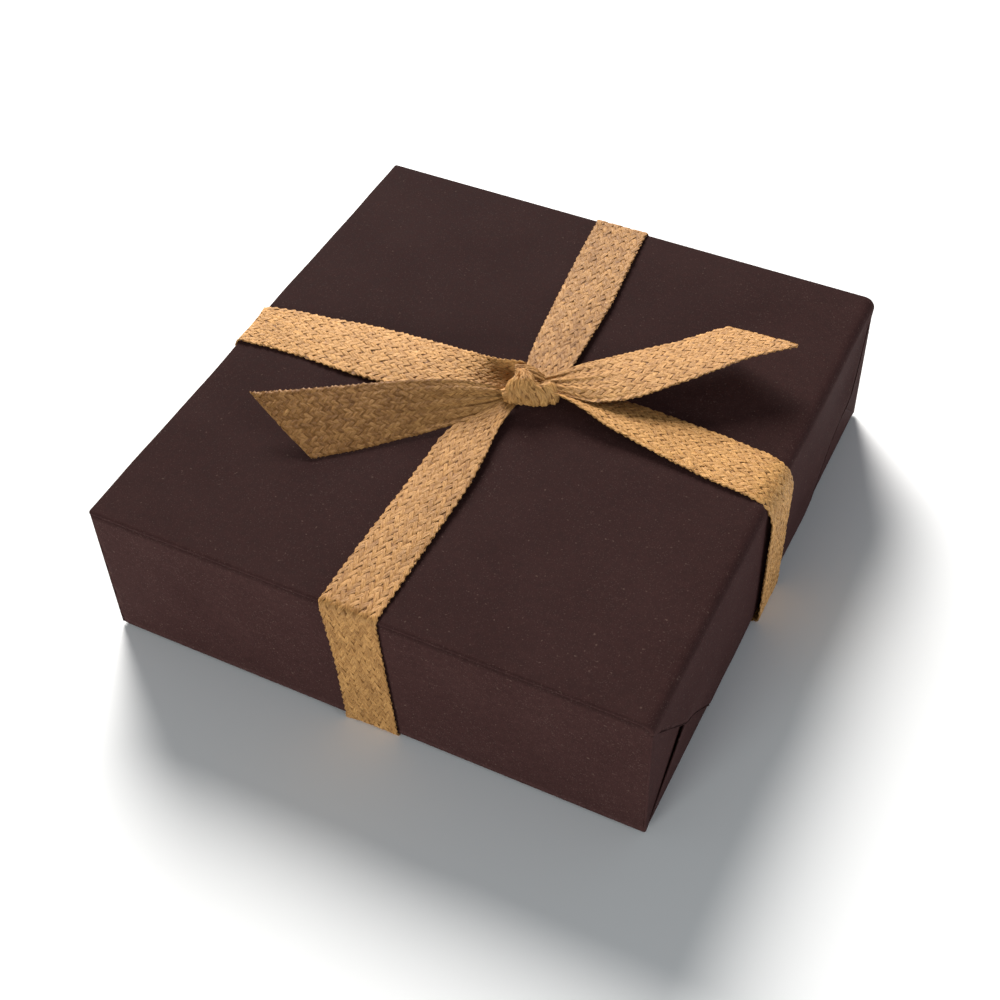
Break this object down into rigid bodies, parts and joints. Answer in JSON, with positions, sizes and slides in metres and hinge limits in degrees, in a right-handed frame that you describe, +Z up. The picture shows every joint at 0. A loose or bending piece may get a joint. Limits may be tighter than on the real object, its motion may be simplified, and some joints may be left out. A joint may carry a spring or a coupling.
{
  "type": "gift box",
  "caption": "Flat square gift box wrapped in dark brown kraft paper, tied crosswise with a braided raffia ribbon, a knot on top and two free tails.",
  "frame": {"origin": "on the surface the box stands on, under the middle of the box, where the two ribbon runs cross underneath", "axes": "+Z up; +X to the right end of the box, across the shorter side; +Y to the back"},
  "size_m": [0.2047, 0.2116, 0.0749],
  "materials": {
    "card": "matt grey board",
    "wrapping_paper": "matt dark brown kraft",
    "tape": "satin clear tape",
    "braided_ribbon": "golden tan braided raffia"
  },
  "bodies": {
    "package": {"inner_box_tray": "card", "inner_box_lid": "card", "paper_main_wrap": "wrapping_paper", "paper_left_front_tuck": "wrapping_paper", "paper_left_back_tuck": "wrapping_paper", "paper_left_bottom_flap": "wrapping_paper", "paper_left_top_flap": "wrapping_paper", "paper_right_front_tuck": "wrapping_paper", "paper_right_back_tuck": "wrapping_paper", "paper_right_bottom_flap": "wrapping_paper", "paper_right_top_flap": "wrapping_paper", "tape_seam_left": "tape", "tape_seam_right": "tape", "tape_end_left": "tape", "tape_end_right": "tape", "ribbon_left_arm": "braided_ribbon", "ribbon_right_arm": "braided_ribbon", "ribbon_front_arm": "braided_ribbon", "ribbon_back_arm": "braided_ribbon", "ribbon_under_crosswise": "braided_ribbon", "ribbon_under_lengthwise": "braided_ribbon", "ribbon_knot_core": "braided_ribbon", "ribbon_knot_wrap": "braided_ribbon"},
    "left_tail": {"ribbon_left_tail": "braided_ribbon"},
    "right_tail": {"ribbon_right_tail": "braided_ribbon"}
  },
  "joints": [
    {"name": "left_tail_bend", "type": "hinge", "parent": "package", "child": "left_tail", "pos_m": [0.00162, -0.00366, 0.0658], "axis": [-0.6157, 0.788, 0], "range_deg": [-0.5, 75], "stiffness_Nm_per_rad": 0.01, "springref_deg": 2.86},
    {"name": "right_tail_bend", "type": "hinge", "parent": "package", "child": "right_tail", "pos_m": [0.01738, 0.00866, 0.0658], "axis": [0.6157, -0.788, 0], "range_deg": [-6, 75], "stiffness_Nm_per_rad": 0.01, "springref_deg": 2.86}
  ]
}
